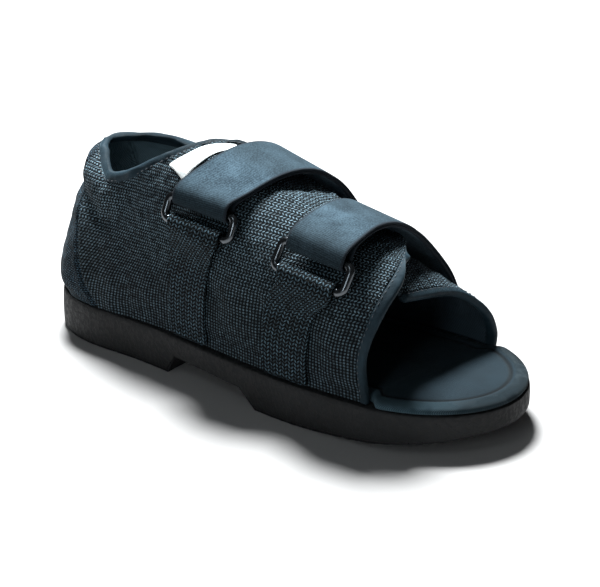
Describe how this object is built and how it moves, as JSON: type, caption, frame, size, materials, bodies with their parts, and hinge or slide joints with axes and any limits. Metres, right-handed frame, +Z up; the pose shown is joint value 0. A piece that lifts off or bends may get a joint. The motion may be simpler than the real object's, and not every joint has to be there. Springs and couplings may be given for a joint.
{
  "type": "postoperative shoe",
  "caption": "Open-toe postoperative shoe with a rocker sole, overlapping mesh flaps and straps that loop through side rings.",
  "frame": {"origin": "middle of the footprint, on the floor", "axes": "+X from the heel to the toe, +Y from the lateral side with the rings to the medial side, +Z up"},
  "size_m": [0.2864, 0.1108, 0.1245],
  "materials": {
    "sole_foam": "matte charcoal foam",
    "footbed_cloth": "smooth charcoal cloth with a wrapped edge",
    "mesh_fabric": "padded black mesh",
    "binding_fabric": "smooth black binding",
    "strap_fabric": "brushed loop face, blue grey where lit",
    "tab_fabric": "coarse black mesh",
    "black_wire": "glossy black",
    "label_cloth": "plain white"
  },
  "bodies": {
    "root": {"outsole": "sole_foam", "footbed": "footbed_cloth", "lateral_flap": "mesh_fabric", "medial_flap": "mesh_fabric", "heel_panel": "mesh_fabric", "collar_binding": "binding_fabric", "lateral_toe_binding": "binding_fabric", "medial_toe_binding": "binding_fabric", "instep_strap": "strap_fabric", "forefoot_strap": "strap_fabric", "instep_ring": "black_wire", "forefoot_ring": "black_wire", "instep_tab": "tab_fabric", "forefoot_tab": "tab_fabric", "label": "label_cloth"}
  },
  "joints": []
}
